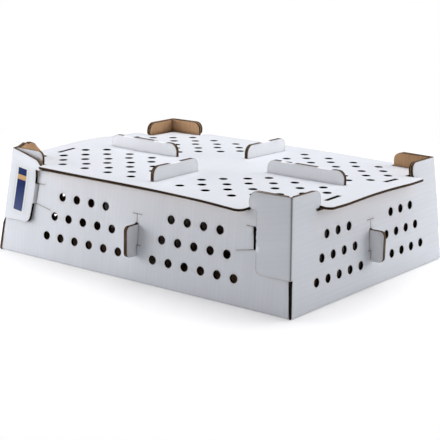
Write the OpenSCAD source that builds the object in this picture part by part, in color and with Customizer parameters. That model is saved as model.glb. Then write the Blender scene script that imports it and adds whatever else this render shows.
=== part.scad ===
// Chick box of corrugated board: a folded tray with leaning walls and corner posts, a vented
// lid that lifts off, and two crossed dividers with tabs through the lid and hooks through the walls.
// X runs along the long walls, Z is up, and the underside of the floor lies at z = 0.

/* [Tray] */
// Outside length of the floor
base_l = 610; // [560:1:680]
// Outside width of the floor
base_w = 457; // [420:1:520]
// Height of the wall tops above the ground
wall_h = 149; // [140:1:180]
// Inward lean of the two long walls, in degrees
side_lean = 5; // [2:0.2:8]
// Inward lean of the two end walls, in degrees
end_lean = 6.4; // [2:0.2:8]
// Thickness of the corrugated board
board = 5; // [3:0.5:6.5]

/* [Corner posts] */
// Rise of the post tops above the wall tops
post_rise = 29; // [26:1:40]
// Length of a post's leg, from the corner to the centre of its round head
post_leg = 60; // [48:1:72]
// Radius of the round end of a post's head
head_r = 12.5; // [8:0.5:13]
// Height of the lower edge of the corner flaps
flap_foot = 58; // [40:1:75]
// Radius of a flap's loose lower corner
flap_r = 12; // [4:1:20]
// Height of the lower edge of a flap's locking tongue, as a share of the wall tops' height
tongue_foot_share = 0.6175; // [0.58:0.0005:0.65]
// Height of a locking tongue
tongue_h = 34; // [24:1:38]
// Length of a locking tongue, past the edge of its flap
tongue_l = 62; // [40:1:75]
// Length of the slit that a tongue slopes through
slit_l = 10; // [8:0.5:14]
// Length of the spring door in the wall, over the tongue
door_l = 31; // [15:1:38]

/* [Vent holes] */
// Diameter of every vent hole
vent_d = 14; // [8:0.5:16]
// Pitch of the holes along a wall
wall_pitch = 31.75; // [26:0.25:36]
// Distance of the lowest row of wall holes from the ground, up the slope
row_foot = 42; // [30:1:50]
// Distance between the rows of wall holes, up the slope
row_step = 34.7; // [24:0.1:36]
// Step between the lid's columns of holes, as a share of the floor's length
lid_column_share = 0.04164; // [0.034:0.00002:0.044]
// Step between the lid's rows of holes, as a share of the floor's width
lid_row_share = 0.06126; // [0.05:0.00002:0.066]
// Distance of the lid's first row from its long centre line, as a share of the floor's width
lid_first_row_share = 0.081; // [0.06:0.001:0.095]

/* [Lid] */
// Reach of the lid past the end walls, at the wall tops
lid_over_end = 24; // [8:1:35]
// Reach of the lid past the long walls, at the wall tops
lid_over_side = 18; // [8:1:30]
// Spread of the lid's end ears towards the posts
ear_flare = 7; // [0:0.5:12]
// Radius of the lid's outer corners
lid_r = 10; // [2:1:15]
// Distance of the lid's corner slots from its long centre line
grip_y = 88; // [70:1:105]
// Length of the lid's corner slots
grip_l = 40; // [20:1:50]
// Width of the lid's corner slots
grip_w = 7; // [3:0.5:9]
// Distance of the middle of the lid's corner slots from the end walls' outer faces, inwards
grip_in = 9.5; // [5:0.5:13]

/* [Dividers] */
// Thickness of a divider, two layers of thin board
divider_t = 7; // [4:0.5:9]
// Height of the lower edge of the wall slots that the hooks go through
slot_foot = 60; // [50:1:70]
// Height of the wall slots, from end to end
slot_h = 50; // [40:1:60]
// Length of the short cuts across the two ends of a wall slot
tick_l = 19; // [8:1:24]
// Height of a hook's root, in its slot
hook_root = 33; // [20:1:38]
// Drop of a hook's lip below its slot
hook_drop = 17; // [8:1:25]
// Reach of a hook past the outer face of its wall
hook_reach = 25; // [18:1:35]
// Radius of a hook's outer corners
hook_r = 8; // [2:0.5:10]
// Distance from the centre to the long divider's tabs
long_tab_start = 97; // [80:1:110]
// Length of each tab of the long divider
long_tab_l = 149; // [110:1:155]
// Distance from the centre to the cross divider's tabs
cross_tab_start = 70; // [55:1:80]
// Length of each tab of the cross divider
cross_tab_l = 114; // [80:1:118]
// Rise of the tabs above the wall tops
tab_rise = 31; // [20:1:40]
// Radius of the tabs' upper corners
tab_r = 14; // [4:1:18]
// Depth of the dips in the tabs' tops
dip_d = 3.5; // [1:0.5:6]
// Length of the dips in the tabs' tops
dip_l = 25; // [12:1:30]

/* [Label] */
// Width of the paper label on the left front flap
label_w = 34; // [20:1:42]
// Height of the paper label
label_h = 84; // [50:1:95]
// Height of the middle of the label
label_mid = 112; // [108:1:120]
// Thickness of the label's paper
label_t = 0.3; // [0.2:0.1:0.5]

/* [Fits] */
// Gap between two layers of the folded sheet
fold_gap = 0.3; // [0.2:0.1:1]
// Gap around the dividers' hooks, tabs and halving slots
fit_gap = 0.5; // [0.3:0.1:1]
// Gap between the lid and the post heads that it lifts past
lid_clear = 1; // [0.5:0.1:3]
// Gap under the lid, over the wall tops
seat_gap = 0.3; // [0.1:0.1:1]
// Width of a knife cut in the board
cut_w = 1; // [0.5:0.1:2]

/* [Hidden] */
$fn = 48;

// Overrun of every cut, and of plates that a cut trims
run = 12;
// Least board left between a vent hole and an edge
web = 5;

// Middles of the hole groups, as shares of half the floor's length and width
side_group_share = 0.38;
end_group_share = 0.42;
// Holes in the top row of a group on a long wall and on an end wall, one more in each row below
side_top_holes = 4;
end_top_holes = 3;
vent_rows = 3;
// First and last hole of each of the lid's rows, as shares of its column step
lid_first_shares = [5, 4, 3, 2, 3, 2];
lid_last_shares = [9, 10, 9, 10, 9, 8];
// Middles of the dips along a tab, as shares of its length from its middle
long_dip_shares = [-0.24, 0.24];
cross_dip_shares = [0];

post_h = wall_h + post_rise;
slot_w = divider_t + 2 * fit_gap;
through = board + 2 * run;

// Outer and inner faces of the walls at height z
end_out = function (z) base_l / 2 - z * tan(end_lean);
side_out = function (z) base_w / 2 - z * tan(side_lean);
end_in = function (z) end_out(z) - board / cos(end_lean);
side_in = function (z) side_out(z) - board / cos(side_lean);

// Corner lines, as distances from the middle of a wall at v up its slope
side_corner = function (v) end_out(v * cos(side_lean));
end_corner = function (v) side_out(v * cos(end_lean));

// A long wall's end stops at the end wall's inner face, and an end wall wraps the flap's thickness
side_reach = -board / cos(end_lean) - fold_gap;
end_reach = (board + fold_gap) / cos(side_lean);

// Heights, measured up the slope of a long wall and of an end wall
side_top = wall_h / cos(side_lean);
side_post = post_h / cos(side_lean);
end_top = wall_h / cos(end_lean);
end_post = post_h / cos(end_lean);
flap_side = flap_foot / cos(side_lean);
flap_end = flap_foot / cos(end_lean);

// Inner edge of the flaps at the middle of the tongue, and where the tongue starts up the slope
tongue_v = tongue_foot_share * wall_h / cos(side_lean);
tongue_u = side_corner(tongue_v + tongue_h / 2) - post_leg;

// Lid outline: clear of the posts' inner faces, and of the round heads, all the way up
lid_x = end_out(wall_h) + lid_over_end;
lid_y = side_out(wall_h) + lid_over_side;
recess_x = end_in(post_h) - (board + fold_gap) / cos(end_lean) - lid_clear;
recess_y = side_in(post_h) - lid_clear;
neck_x = side_corner(side_post - head_r) - post_leg - head_r - lid_clear;
neck_y = end_corner(end_post - head_r) - post_leg - head_r - lid_clear;
lid_foot = wall_h + seat_gap;

white = "#eceded";
paper = "#3f5c93";

// Placing on the front long wall and on the right end wall: x along, y up the slope, z outwards
module on_side() {
    translate([0, -base_w / 2, 0]) rotate([90 - side_lean, 0, 0]) children();
}

module on_end() {
    translate([base_l / 2, 0, 0]) rotate([90 - end_lean, 0, 90]) children();
}

module opposite() {
    children();
    rotate([0, 0, 180]) children();
}

module mirrored() {
    children();
    mirror([1, 0, 0]) children();
}

module quarters() {
    mirrored() {
        children();
        mirror([0, 1, 0]) children();
    }
}

// Wall between two heights, out to its corner lines and past them by reach
module wall_band(corner, reach, low, high) {
    polygon([
        [-corner(low) - reach, low],
        [corner(low) + reach, low],
        [corner(high) + reach, high],
        [-corner(high) - reach, high]
    ]);
}

// One leg of a corner post, with the round head that overhangs its neck
module leg_blank(corner, reach, low, high) {
    polygon([
        [corner(low) + reach, low],
        [corner(high) + reach, high],
        [corner(high) - post_leg, high],
        [corner(low) - post_leg, low]
    ]);
    translate([corner(high - head_r) - post_leg, high - head_r]) circle(r = head_r);
}

// Rows of vent holes on one half of a wall, one hole fewer in each row upwards
module wall_vents(middle, top_holes, corner, reach) {
    for (r = [0 : vent_rows - 1]) {
        v = row_foot + r * row_step;
        n = top_holes + vent_rows - 1 - r;
        for (i = [0 : n - 1]) {
            u = middle + (i - (n - 1) / 2) * wall_pitch;
            clear_in = u - vent_d / 2 - web > slot_w / 2;
            clear_out = u + vent_d / 2 + web < corner(v) + reach;
            if (clear_in && clear_out)
                translate([u, v, -board - run]) cylinder(d = vent_d, h = through);
        }
    }
}

// Slot for a divider's hook: open round the hook's root and sprung shut to a knife cut above it,
// with a short knife cut across each end
module hook_slot(lean) {
    low = slot_foot / cos(lean);
    root = (slot_foot + hook_root + 2 * fit_gap) / cos(lean);
    high = (slot_foot + slot_h) / cos(lean);
    translate([0, 0, -board - run]) linear_extrude(through) {
        translate([-slot_w / 2, low]) square([slot_w, root - low]);
        translate([-cut_w / 2, low]) square([cut_w, high - low]);
        translate([-tick_l / 2, low]) square([tick_l, cut_w]);
        translate([-tick_l / 2, high - cut_w]) square([tick_l, cut_w]);
    }
}

// Slit that a flap's tongue goes in by, and the knife cuts above and below its spring door
module tongue_slit() {
    low = tongue_v - fit_gap;
    high = tongue_v + tongue_h + fit_gap;
    left = tongue_u - slit_l - fit_gap;
    translate([0, 0, -board - run]) linear_extrude(through) {
        translate([left, low]) square([slit_l + 2 * fit_gap, high - low]);
        translate([left - door_l, low]) square([door_l + fit_gap, cut_w]);
        translate([left - door_l, high - cut_w]) square([door_l + fit_gap, cut_w]);
    }
}

module side_wall() {
    difference() {
        translate([0, 0, -board]) linear_extrude(board) {
            wall_band(side_corner, side_reach, -run, side_top);
            mirrored() leg_blank(side_corner, side_reach, flap_side, side_post);
        }
        mirrored() {
            wall_vents(side_group_share * base_l / 2, side_top_holes, side_corner, side_reach);
            tongue_slit();
        }
        hook_slot(side_lean);
    }
}

module end_wall() {
    difference() {
        translate([0, 0, -board]) linear_extrude(board) {
            wall_band(end_corner, 0, -run, flap_end + run);
            wall_band(end_corner, end_reach, flap_end, end_top);
            mirrored() leg_blank(end_corner, end_reach, flap_end, end_post);
        }
        mirrored() wall_vents(end_group_share * base_w / 2, end_top_holes, end_corner, 0);
        hook_slot(end_lean);
    }
}

// Flap on the outside of a long wall, folded from the end wall, with its loose lower corner rounded
module corner_flap() {
    edge = side_corner(flap_side + flap_r) - post_leg;
    translate([0, 0, fold_gap]) linear_extrude(board) {
        difference() {
            leg_blank(side_corner, -board / 2, flap_side, side_post);
            translate([edge - flap_r, flap_side - flap_r]) square(2 * flap_r);
        }
        translate([edge + flap_r, flap_side + flap_r]) circle(r = flap_r);
    }
}

// Flap on the inside of an end wall, folded from the long wall, that doubles the post's leg there
module inner_flap() {
    translate([0, 0, -2 * board - fold_gap]) linear_extrude(board)
        leg_blank(end_corner, -fold_gap, flap_end, end_post);
}

// Tongue of a flap: slopes in through the slit, then lies along the wall's inner face
module flap_tongue() {
    outer = fold_gap + board;
    inner = -board - fold_gap;
    translate([0, tongue_v + tongue_h, 0]) rotate([90, 0, 0]) linear_extrude(tongue_h) polygon([
        [tongue_u + board, outer],
        [tongue_u, outer],
        [tongue_u - slit_l, inner],
        [tongue_u - tongue_l, inner],
        [tongue_u - tongue_l, inner - board],
        [tongue_u - slit_l, inner - board],
        [tongue_u, fold_gap],
        [tongue_u + board, fold_gap]
    ]);
}

module floor_panel() {
    translate([0, 0, board / 2]) cube([2 * end_out(board), 2 * side_out(board), board], center = true);
}

module tray() {
    color(white) difference() {
        union() {
            floor_panel();
            opposite() {
                on_side() {
                    side_wall();
                    mirrored() {
                        corner_flap();
                        flap_tongue();
                    }
                }
                on_end() {
                    end_wall();
                    mirrored() inner_flap();
                }
            }
        }
        translate([-base_l, -base_w, -wall_h]) cube([2 * base_l, 2 * base_w, wall_h]);
    }
}

// Rounded corner of the lid's outline, from its end face round to its long face
function lid_corner(x, y) =
    [for (a = [0 : 360 / $fn : 90]) [x - lid_r * (1 - cos(a)), y - lid_r * (1 - sin(a))]];

// One quarter of the lid's outline: the ear beside a post, the recess round the post, the long edge
lid_quarter = concat(
    lid_corner(lid_x, neck_y + ear_flare),
    [
        [end_out(wall_h) + lid_clear, neck_y],
        [recess_x, neck_y],
        [recess_x, recess_y],
        [neck_x, recess_y]
    ],
    lid_corner(neck_x, lid_y)
);

module lid_blank() {
    back = [for (i = [len(lid_quarter) - 1 : -1 : 0]) [-lid_quarter[i].x, lid_quarter[i].y]];
    half = concat(lid_quarter, back);
    polygon(concat(half, [for (p = half) -p]));
}

// Slots for the dividers' tabs, and the slots beside the end walls near each corner
module lid_slots() {
    mirrored() translate([long_tab_start - fit_gap, -slot_w / 2])
        square([long_tab_l + 2 * fit_gap, slot_w]);
    rotate([0, 0, 90]) mirrored() translate([cross_tab_start - fit_gap, -slot_w / 2])
        square([cross_tab_l + 2 * fit_gap, slot_w]);
    quarters() translate([end_out(wall_h) - grip_in, grip_y]) square([grip_w, grip_l], center = true);
}

module lid_vents() {
    for (r = [0 : len(lid_first_shares) - 1])
        for (i = [lid_first_shares[r] : 2 : lid_last_shares[r]]) {
            x = i * lid_column_share * base_l;
            y = (lid_first_row_share + r * lid_row_share) * base_w;
            inside = x + vent_d / 2 + web < recess_x && y + vent_d / 2 + web < recess_y;
            if (inside) translate([x, y, -run]) cylinder(d = vent_d, h = through);
        }
}

module lid() {
    color(white) translate([0, 0, lid_foot]) difference() {
        linear_extrude(board) difference() {
            lid_blank();
            lid_slots();
        }
        quarters() lid_vents();
    }
}

// Tab with rounded upper corners and shallow dips along its top
module tab_blank(length, dip_shares) {
    difference() {
        union() {
            translate([0, -run]) square([length, run + tab_rise - tab_r]);
            translate([tab_r, -run]) square([length - 2 * tab_r, run + tab_rise]);
            for (x = [tab_r, length - tab_r]) translate([x, tab_rise - tab_r]) circle(r = tab_r);
        }
        for (share = dip_shares)
            translate([length / 2 + share * length - dip_l / 2, tab_rise - dip_d]) square([dip_l, run]);
    }
}

// Hook of a divider: a root in the wall's slot, and a lip that hangs down outside the wall
module hook_blank(inner, outer) {
    foot = slot_foot - hook_drop;
    root = slot_foot + fit_gap;
    head = root + hook_root;
    lip = outer(foot) + fit_gap;
    tip = outer(slot_foot) + hook_reach;
    start = inner(slot_foot + slot_h) - run;
    translate([start, root]) square([tip - hook_r - start, hook_root]);
    translate([lip, foot]) square([tip - hook_r - lip, head - foot]);
    translate([lip, foot + hook_r]) square([tip - lip, head - foot - 2 * hook_r]);
    for (z = [foot + hook_r, head - hook_r]) translate([tip - hook_r, z]) circle(r = hook_r);
}

// Outline of a divider, from the floor to the wall tops, with its tabs and hooks
module divider_blank(inner, outer, tab_start, tab_l, dip_shares) {
    polygon([
        [-inner(board) + fit_gap, board],
        [inner(board) - fit_gap, board],
        [inner(wall_h) - fit_gap, wall_h],
        [-inner(wall_h) + fit_gap, wall_h]
    ]);
    mirrored() {
        translate([tab_start, wall_h]) tab_blank(tab_l, dip_shares);
        hook_blank(inner, outer);
    }
}

// Slot of the halving joint between two heights
module halving_slot(low, high) {
    translate([-slot_w / 2, low]) square([slot_w, high - low]);
}

module long_divider() {
    color(white) rotate([90, 0, 0]) linear_extrude(divider_t, center = true) difference() {
        divider_blank(end_in, end_out, long_tab_start, long_tab_l, long_dip_shares);
        halving_slot((board + wall_h) / 2, wall_h + run);
    }
}

module cross_divider() {
    color(white) rotate([90, 0, 90]) linear_extrude(divider_t, center = true) difference() {
        divider_blank(side_in, side_out, cross_tab_start, cross_tab_l, cross_dip_shares);
        halving_slot(board - run, (board + wall_h) / 2);
    }
}

// Paper label on the left front flap, turned to follow the flap's edges
module label() {
    v = label_mid / cos(side_lean);
    turn = -atan(cos(side_lean) * tan(end_lean));
    color(paper) on_side()
        translate([post_leg / 2 - side_corner(v), v, fold_gap + board])
        rotate([0, 0, turn])
        translate([-label_w / 2, -label_h / 2, 0])
        cube([label_w, label_h, label_t]);
}

tray();
lid();
long_divider();
cross_divider();
label();
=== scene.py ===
import math

import bpy
import numpy as np
from mathutils import Matrix, Vector
from mathutils.geometry import delaunay_2d_cdt


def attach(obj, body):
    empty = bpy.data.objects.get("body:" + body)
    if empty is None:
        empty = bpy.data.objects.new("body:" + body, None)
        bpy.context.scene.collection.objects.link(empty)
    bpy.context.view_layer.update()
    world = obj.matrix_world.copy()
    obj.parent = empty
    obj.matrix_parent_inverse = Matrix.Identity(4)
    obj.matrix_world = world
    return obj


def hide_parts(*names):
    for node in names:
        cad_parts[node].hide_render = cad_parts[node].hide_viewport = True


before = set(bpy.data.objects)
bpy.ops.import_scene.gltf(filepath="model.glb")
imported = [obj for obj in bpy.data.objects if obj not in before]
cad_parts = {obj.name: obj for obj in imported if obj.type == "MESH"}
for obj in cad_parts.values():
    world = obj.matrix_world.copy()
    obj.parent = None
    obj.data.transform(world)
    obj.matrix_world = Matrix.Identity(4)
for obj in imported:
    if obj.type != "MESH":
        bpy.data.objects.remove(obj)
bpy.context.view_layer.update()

mm = 0.001  # metres in a millimetre; lengths are in millimetres, apart from the studio's

# Driving sizes of the box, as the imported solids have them
box = {
    "length": 610.0, "width": 457.0, "wallTop": 149.0, "postTop": 178.0,
    "sideLean": math.radians(5.0), "endLean": math.radians(6.4),
    "legLength": 60.0, "headRadius": 12.5,
    "ventSize": 14.0, "slotFoot": 60.0, "slotHeight": 50.0, "hookRoot": 33.0,
    "lidClear": 1.0, "fitGap": 0.5, "dividerThickness": 7.0,
}

# Corrugated board: thickness, the crushed rim that the cutting die leaves, and how finely it is meshed
board = {
    "thickness": 5.0, "gap": 0.3, "cutWidth": 0.4, "foldRadius": 3.6, "foldThickness": 3.2,
    "crush": 0.22, "crushReach": 1.6, "ring": 1.5,
    "grid": 9.0, "rimStep": 1.8, "arcPoints": 9, "ventSides": 30, "chunk": 400,
    "ringKeep": 0.85, "gridKeep": 0.45, "foldClear": 0.9, "foldApart": 0.5,
    "flutePitch": 8.0, "wearAndShadeReach": 5.0, "sharpAngle": math.radians(38.0),
}
outerLook, innerLook, cutLook, darkLook = range(4)  # places of a sheet's four looks

halfLength, halfWidth = box["length"] / 2, box["width"] / 2
layer = board["thickness"] + board["gap"]
tanSide, tanEnd = math.tan(box["sideLean"]), math.tan(box["endLean"])
cosSide, cosEnd = math.cos(box["sideLean"]), math.cos(box["endLean"])
sinSide, sinEnd = math.sin(box["sideLean"]), math.sin(box["endLean"])
fluteTurn = math.tau / (board["flutePitch"] * mm)  # angle per metre across the flutes


def endOut(z):  # outer face of an end wall at height z
    return halfLength - z * tanEnd


def sideOut(z):  # outer face of a long wall at height z
    return halfWidth - z * tanSide


def sideCorner(v):  # corner line, from the middle of a long wall, at v up its slope
    return endOut(v * cosSide)


def endCorner(v):  # corner line, from the middle of an end wall, at v up its slope
    return sideOut(v * cosEnd)


def smooth(t):  # 0 before 0, 1 after 1, and an S between them: 3t^2 - 2t^3
    t = np.clip(t, 0, 1)
    return t * t * (3 - 2 * t)


def ramp(value, start, length):  # the smooth step from start to start + length
    return smooth((value - start) / length)


def hump(t):  # 1 at 0, falling to 0 at -1 and 1 like a bell: (1 - t^2)^2
    return np.clip(1 - t * t, 0, 1) ** 2


def unit(rows):  # every row at length 1
    return rows / np.maximum(np.linalg.norm(rows, axis=1), 1e-9)[:, None]


# Outlines

def rounded(points):
    # Loop through (x, y, radius) with arcs for corners: centre on the bisector, r / sin(half angle) away
    points = np.array(points, float)
    corner, radius = points[:, :2], points[:, 2]
    back, ahead = unit(np.roll(corner, 1, 0) - corner), unit(np.roll(corner, -1, 0) - corner)
    half = np.arccos(np.clip((back * ahead).sum(1), -1, 1)) / 2
    middle, side = unit(back + ahead), unit(ahead - back)
    centre = corner + middle * (radius / np.sin(half))[:, None]
    angle = (math.pi / 2 - half)[:, None] * np.linspace(-1, 1, board["arcPoints"])
    spoke = side[:, None] * np.sin(angle)[..., None] - middle[:, None] * np.cos(angle)[..., None]
    loop = (centre[:, None] + radius[:, None, None] * spoke).reshape(-1, 2)
    return loop[np.linalg.norm(loop - np.roll(loop, 1, 0), axis=1) > 1e-4]  # no point twice


def stepped(loop, step):  # the same loop with points no further apart than step
    run = np.roll(loop, -1, 0) - loop
    count = np.maximum(1, np.ceil(np.linalg.norm(run, axis=1) / step)).astype(int)
    start = np.repeat(np.arange(len(loop)), count)
    share = (np.arange(count.sum()) - np.repeat(np.cumsum(count) - count, count)) / count[start]
    return loop[start] + run[start] * share[:, None]


def ventLoop(x, y):
    angle = np.arange(board["ventSides"]) * math.tau / board["ventSides"]
    return np.stack([x + box["ventSize"] / 2 * np.cos(angle), y + box["ventSize"] / 2 * np.sin(angle)], 1)


def turned(loop, wantArea):  # the loop running the way that gives its area the wanted sign
    x, y = loop.T
    area = (x * np.roll(y, -1) - y * np.roll(x, -1)).sum()
    return loop if area * wantArea > 0 else loop[::-1]


def flipped(points, x, y):  # mirrored copy of outline points, in reverse so that the loop goes on
    return [(x * a, y * b, r) for a, b, r in reversed(points)]


def wholeLoop(quarter):  # outline from one quarter of it, mirrored both ways
    half = quarter + flipped(quarter, -1, 1)
    return rounded(half + flipped(half, 1, -1))


# Sheets of board

def nearest(points, rim):  # distance from each point to the closest rim point
    return np.concatenate([
        np.sqrt(((part[:, None] - rim[None]) ** 2).sum(2).min(1))
        for part in np.array_split(points, max(1, len(points) // board["chunk"]))])


def fieldPoints(loops, folds):  # a ring just inside every cut edge, the fold lines, and a grid over the rest
    rim = np.concatenate(loops)
    rings = []
    for loop in loops:
        along = unit(np.roll(loop, -1, 0) - np.roll(loop, 1, 0))
        rings.append((loop + board["ring"] * np.stack([-along[:, 1], along[:, 0]], 1))[::2])
    ring = np.concatenate(rings)
    low, high = rim.min(0) + board["grid"] / 2, rim.max(0)
    across, up = np.meshgrid(*(np.arange(a, b, board["grid"]) for a, b in zip(low, high)))
    grid = np.stack([across.ravel(), up.ravel()], 1)
    ring = ring[nearest(ring, rim) > board["ringKeep"] * board["ring"]]
    held = np.concatenate([rim, ring])
    if len(folds):
        folds = folds[nearest(folds, rim) > board["foldClear"]]
        held = np.concatenate([held, folds])
        ring = np.concatenate([ring[nearest(ring, folds) > board["foldApart"]], folds])
    return np.concatenate([ring, grid[nearest(grid, held) > board["gridKeep"] * board["grid"]]])


def cutSheet(loops, folds):
    # Flat points, the triangles inside the first loop and outside the others, and each loop's points
    rim = np.concatenate(loops)
    points = np.concatenate([rim, fieldPoints(loops, folds)])
    ends = np.cumsum([len(loop) for loop in loops])
    faces = [list(range(end - len(loop), end)) for loop, end in zip(loops, ends)]
    inward = faces[:1] + [face[::-1] for face in faces[1:]]  # every loop counts from its own inside
    places, _, triangles, source, _, within = delaunay_2d_cdt(
        [Vector(p) for p in points], [], inward, 0, 1e-6, True)
    triangles = np.array([t for t, f in zip(triangles, within) if list(f) == [0]])
    newIndex = np.full(len(points), -1)
    for i, old in enumerate(source):
        newIndex[list(old)] = i
    used, triangles = np.unique(triangles, return_inverse=True)
    flat = np.array([p[:] for p in places])[used]
    place = np.full(len(places), -1)
    place[used] = np.arange(len(used))
    return flat, triangles.reshape(-1, 3), [place[newIndex[face]] for face in faces]


def pointNormals(points, triangles):  # area-weighted mean of the faces round each point
    a, b, c = (points[triangles[:, i]] for i in range(3))
    face = np.cross(b - a, c - a)
    normal = np.zeros_like(points)
    for i in range(3):
        np.add.at(normal, triangles[:, i], face)
    return unit(normal)


def boardSheet(loops, place, thickness, folds=(), faceDown=False, gloom=None):
    # A flat sheet cut to its loops and put in space by place(). The second face lies a thickness behind it
    # along the normal, and both faces sink towards the cut rim by crush * exp(-(distance / reach)^2)
    loops = [stepped(turned(loop, -1 if i else 1), board["rimStep"]) for i, loop in enumerate(loops)]
    flat, triangles, rims = cutSheet(loops, np.asarray(folds, float).reshape(-1, 2))
    if faceDown:
        triangles = triangles[:, ::-1]
        rims = [rim[::-1] for rim in rims]
    rimNear = nearest(flat, np.concatenate(loops))
    middle = place(flat)
    normal = pointNormals(middle, triangles)
    press = (board["crush"] * np.exp(-(rimNear / board["crushReach"]) ** 2))[:, None]
    outer = middle - normal * press
    inner = middle - normal * (thickness(flat)[:, None] - press)
    # dark marks the points whose cut rim is painted near black, as shade
    dark = gloom(flat) if gloom else np.zeros(len(flat), bool)
    return {"flat": flat, "triangles": triangles, "rims": rims, "outer": outer, "inner": inner,
            "rimNear": rimNear, "dark": dark}


def addObject(name, data):
    made = bpy.data.objects.new(name, data)
    bpy.context.scene.collection.objects.link(made)
    return made


def boardMesh(name, sheet, looks, crease=None, shadedFaces=None, bridge=None):
    # Outer face, inner face and a strip round every loop as one mesh; looks holds their materials in order
    count, flat = len(sheet["flat"]), sheet["flat"] * mm
    points = [sheet["outer"], sheet["inner"]]
    faces, look, maps = [], [], []
    lined = bridge(sheet["flat"]) if bridge else np.zeros(count, bool)  # the liner runs on over the edge here
    # closeness to the cut rim: it drives the rim's dust and a painted shadow line along it
    wearAndShade = np.exp(-sheet["rimNear"] / board["wearAndShadeReach"]) * ~lined
    wearAndShadeParts = [wearAndShade, wearAndShade]
    for side, corner in ((outerLook, sheet["triangles"]), (innerLook, sheet["triangles"][:, ::-1])):
        faces += (corner + side * count).tolist()
        # faces picked here get the near-black look as painted shade
        deep = np.zeros(len(corner), bool)
        if shadedFaces and side == outerLook:
            deep = shadedFaces(sheet["flat"][corner].mean(1))
        look.append(np.where(deep, darkLook, side))
        maps.append(flat[corner].reshape(-1, 2))
    start = 2 * count
    for rim in sheet["rims"]:
        n = len(rim)
        here = np.arange(n)
        after = (here + 1) % n
        points += [sheet["outer"][rim], sheet["inner"][rim]]
        quad = np.stack([here, here + n, after + n, after], 1)
        faces += (quad + start).tolist()
        # hole rims and the marked edges take the near-black rim: painted shade, on hole rims partly crushed
        # edge
        cut = np.where(sheet["dark"][rim] | (rim is not sheet["rims"][0]), darkLook, cutLook)
        look.append(np.where(lined[rim] & lined[rim][after], outerLook, cut))
        wearAndShadeParts += [1.0 - lined[rim]] * 2
        across = flat[rim, 0]
        strip = np.stack([across[here], across[here], across[after], across[after]], 1)
        depth = np.broadcast_to(np.array([0.0, 1.0, 1.0, 0.0]), strip.shape)
        maps.append(np.stack([strip, depth], 2).reshape(-1, 2))
        start += 2 * n
    # rim values, for the rim's dust and its painted shadow line
    soil = np.concatenate(wearAndShadeParts)
    mesh = bpy.data.meshes.new(name)
    mesh.from_pydata((np.concatenate(points) * mm).tolist(), [], faces)
    mesh.uv_layers.new(name="sheet").data.foreach_set("uv", np.concatenate(maps).ravel().astype(np.float32))
    mesh.polygons.foreach_set("material_index", np.concatenate(look).astype(np.int32))
    mesh.attributes.new("rimWearAndShade", "FLOAT", "POINT").data.foreach_set("value", soil.astype(np.float32))
    # crease values: fold lines that are partly worn and partly painted shade, and a painted shadow line
    # beside the inner flaps
    outerFold, innerFold = crease(sheet["flat"]) if crease else np.zeros((2, count))
    folded = np.concatenate([outerFold, innerFold, np.zeros(start - 2 * count)])
    mesh.attributes.new("creaseWearAndShade", "FLOAT", "POINT").data.foreach_set("value", folded.astype(np.float32))
    mesh.shade_smooth()
    mesh.set_sharp_from_angle(angle=board["sharpAngle"])
    for made in looks:
        mesh.materials.append(made)
    mesh.update()
    return addObject(name, mesh)


def even(thickness):  # the same thickness all over a sheet
    def measure(flat):
        return np.full(len(flat), thickness)
    return measure


def standFor(piece, node, body):
    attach(piece, body)
    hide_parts(node)
    print("made", piece.name, "with", len(piece.data.polygons), "faces")


# Shaders

class Wire:  # an output socket that takes part in sums
    def __init__(self, look, socket):
        self.look, self.socket = look, socket

    def math(self, operation, *values):
        return self.look.node("ShaderNodeMath", {"operation": operation}, values)

    def __add__(self, other):
        return self.math("ADD", self, other)

    def __radd__(self, other):
        return self.math("ADD", other, self)

    def __sub__(self, other):
        return self.math("SUBTRACT", self, other)

    def __rsub__(self, other):
        return self.math("SUBTRACT", other, self)

    def __mul__(self, other):
        return self.math("MULTIPLY", self, other)

    def __rmul__(self, other):
        return self.math("MULTIPLY", other, self)

    def __lt__(self, other):
        return self.math("LESS_THAN", self, other)

    def __gt__(self, other):
        return self.math("GREATER_THAN", self, other)

    def __abs__(self):
        return self.math("ABSOLUTE", self)

    def sin(self):
        return self.math("SINE", self)


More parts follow.
